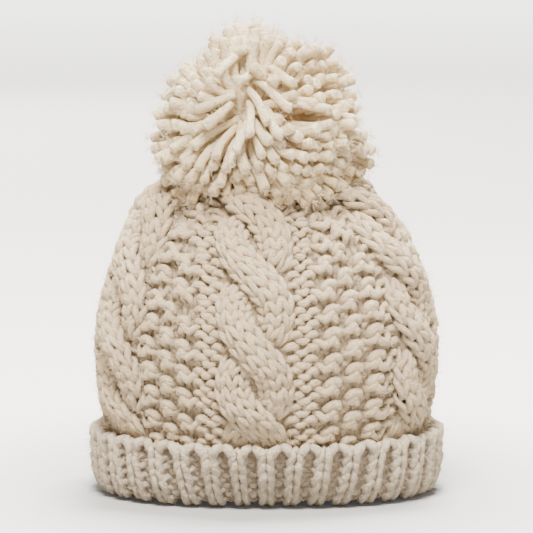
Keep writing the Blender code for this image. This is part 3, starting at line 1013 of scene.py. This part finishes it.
def overParting(middle):
    strands = []
    table = np.array(list(frontStrands.values()), float).T
    for rootAcross, rootHeight, tipAcross, tipHeight, over in table:
        root = frontOfBall(rootAcross, rootHeight)
        tip = frontOfBall(tipAcross, tipHeight) + np.array([0, -over, 0])
        root[1] = middle[1] + (root[1] - middle[1]) * frontShape["rootDepth"]
        sag = np.array([0, -frontShape["sag"] * np.linalg.norm(tip - root), 0])
        bend = sag + chance.normal(0, frontShape["bend"], 3)
        strands.append((root + fallen(root), tip + fallen(tip), bend))
    return strands


def buildPompom(material):
    middle = np.array(pompom["middle"])
    paths = []
    for root, tip, bend in ballStrands(middle) + overParting(middle):
        points, thick = cutStrand(root, tip, bend)
        points = swayed(points, middle)
        points = points - fallen(points)
        lift = liftOverCrown(points)
        if lift[pompom["points"] // 2:].max() > pompom["mostLift"]:  # it would lie inside the crown
            continue
        points[:, 2] += lift
        outward = unit(points - middle)
        far = np.linalg.norm(points - middle, axis=1) / ballReach(outward)
        # painted shade, darker low on the ball
        low = np.clip((pompom["lowShadeStart"] - points[:, 2] + middle[2]) / pompom["lowShadeReach"], 0, 1)
        paths.append({"points": points, "outward": outward, "thick": thick,
                      "shade": low * pompom["lowShade"] + chance.uniform(*pompom["shade"]),
                      "proud": np.clip((far - pompom["deep"]) / (pompom["cream"] - pompom["deep"]), 0, 1)})
    return [fuzzHairs("pompomFuzz", paths, fuzz["onPompom"], fuzzWool),
            sweptYarn("pompomYarn", paths, False, material, pompom["sides"], caps=True),
            pompomCore(middle)]


def pompomCore(middle):  # the yarn seen deep between the strands, painted darker as shade
    ball = bmesh.new()
    bmesh.ops.create_uvsphere(ball, u_segments=pompom["coreSides"], v_segments=pompom["coreRings"],
                              radius=1.0)
    outward = unit(np.array([v.co for v in ball.verts]))
    points = middle + outward * ballReach(outward)[:, None] * pompom["core"]
    points = points - fallen(points)
    points[:, 2] += liftOverCrown(points)
    for vertex, point in zip(ball.verts, points * mm):
        vertex.co = point
    mesh = bpy.data.meshes.new("pompomCore")
    ball.to_mesh(mesh)
    ball.free()
    mesh.materials.append(gapShadeMaterial("pompomCore", woolPompom))
    mesh.shade_smooth()
    return placed("pompomCore", mesh)


# Stage, camera and light

view = {
    "distance": 2.5,
    "elevation": 6.0,
    "target": (0.0, 0.0, 0.1067),
    "lens": 354.6,
    "sensor": 36.0,
    "farthest": 20.0,
}

stage = {
    "seen": (0.96, 0.925, 0.90),
    "bounced": (0.5, 0.485, 0.47),  # so that the paper doesn't wash out the gaps in the knit
    "roughness": 0.9,
    "glowColour": (0.92, 0.885, 0.86),  # painted light: the paper glows more away from the hat, standing in for a lit studio floor
    "glow": (0.2, 4.2, 0.05, 4.0),  # from one distance to another, and how much at each
    "shadow": (0.07, 0.36, 0.5, 1.0),  # painted shadow: the paper is darker right beside the hat
    "shadowShape": (1.6, 1.0, 1.0),
    "halfSize": 9.0,
    "sky": (0.93, 0.94, 0.96),
    "skyStrength": 0.15,
}

lights = {  # place, size, power and colour
    "keyLight": ((-0.12, -0.9, 1.6), 0.5, 90.0, (1.0, 0.97, 0.93)),
    "topLight": ((0.15, 0.45, 1.7), 0.6, 105.0, (1.0, 0.98, 0.95)),
    "fillLight": ((0.5, -2.2, 0.4), 1.4, 20.0, (1.0, 0.985, 0.96)),
    "backLight": ((-0.6, 2.3, 1.0), 1.2, 30.0, (1.0, 0.985, 0.96)),
}


def makeCamera():
    camera = placed("camera", bpy.data.cameras.new("camera"))
    camera.data.lens, camera.data.sensor_width = view["lens"], view["sensor"]
    camera.data.clip_end = view["farthest"]
    rise = math.radians(view["elevation"])
    back = Vector((0.0, -math.cos(rise), math.sin(rise)))
    camera.location = Vector(view["target"]) + back * view["distance"]
    camera.rotation_euler = (-back).to_track_quat("-Z", "Y").to_euler()
    bpy.context.scene.camera = camera


def makeLights():
    for name, (place, size, power, colour) in lights.items():
        light = bpy.data.lights.new(name, "AREA")
        light.size, light.energy, light.color = size, power, colour
        lamp = placed(name, light)
        lamp.location = place
        lamp.rotation_euler = (Vector(view["target"]) - Vector(place)).to_track_quat("-Z", "Y").to_euler()
    world = bpy.data.worlds.new("studio")
    world.use_nodes = True
    world.node_tree.nodes["Background"].inputs["Color"].default_value = rgba(stage["sky"])
    world.node_tree.nodes["Background"].inputs["Strength"].default_value = stage["skyStrength"]
    bpy.context.scene.world = world


def makeStage():
    values = {"Roughness": stage["roughness"], "Emission Color": rgba(stage["glowColour"])}
    material, tree, shader = newMaterial("palePaper", values)
    seen = addNode(tree, "ShaderNodeLightPath").outputs["Is Camera Ray"]
    paper = mixed(tree, seen, rgba(stage["bounced"]), rgba(stage["seen"]))
    place = addNode(tree, "ShaderNodeTexCoord").outputs["Object"]
    shape = addNode(tree, "ShaderNodeVectorMath", {0: place, 1: stage["shadowShape"]}, operation="MULTIPLY")
    away = addNode(tree, "ShaderNodeVectorMath", {0: shape.outputs["Vector"]}, operation="LENGTH")
    away = away.outputs["Value"]
    # painted shadow: the paper darkens towards the hat
    shadow = ranged(tree, away, *stage["shadow"], ease="SMOOTHSTEP")
    shaded = addNode(tree, "ShaderNodeVectorMath", {0: paper, "Scale": shadow}, operation="SCALE")
    tree.links.new(shaded.outputs["Vector"], shader.inputs["Base Color"])
    # painted light: the paper glows for camera rays, more so away from the hat
    glow = calculated(tree, "MULTIPLY", ranged(tree, away, *stage["glow"]), seen)
    tree.links.new(glow, shader.inputs["Emission Strength"])
    half = stage["halfSize"]
    corners = [(-half, -half, 0), (half, -half, 0), (half, half, 0), (-half, half, 0)]
    mesh = bpy.data.meshes.new("floor")
    mesh.from_pydata(corners, [], [(0, 1, 2, 3)])
    mesh.materials.append(material)
    floor = placed("floor", mesh)


makeCamera()
makeStage()
makeLights()
fuzzWool = woolMaterial("fuzzWool", woolFuzz)
for piece in buildCrown(woolMaterial("crownWool", woolCream)):
    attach(piece, "root")
    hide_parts("crown")
print("crown knitted")
for piece in buildCuff(woolMaterial("ribWool", woolRib)):
    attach(piece, "root")
    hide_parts("brim_cuff")
print("cuff knitted")
for piece in buildPompom(woolMaterial("pompomWool", woolPompom)):
    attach(piece, "root")
    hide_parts("pompom")
print("pompom tied")

for piece in sorted(bpy.data.objects, key=lambda o: o.name):
    if piece.type == "MESH" and not piece.hide_render:
        print(piece.name, sum(len(p.vertices) - 2 for p in piece.data.polygons), "triangles")
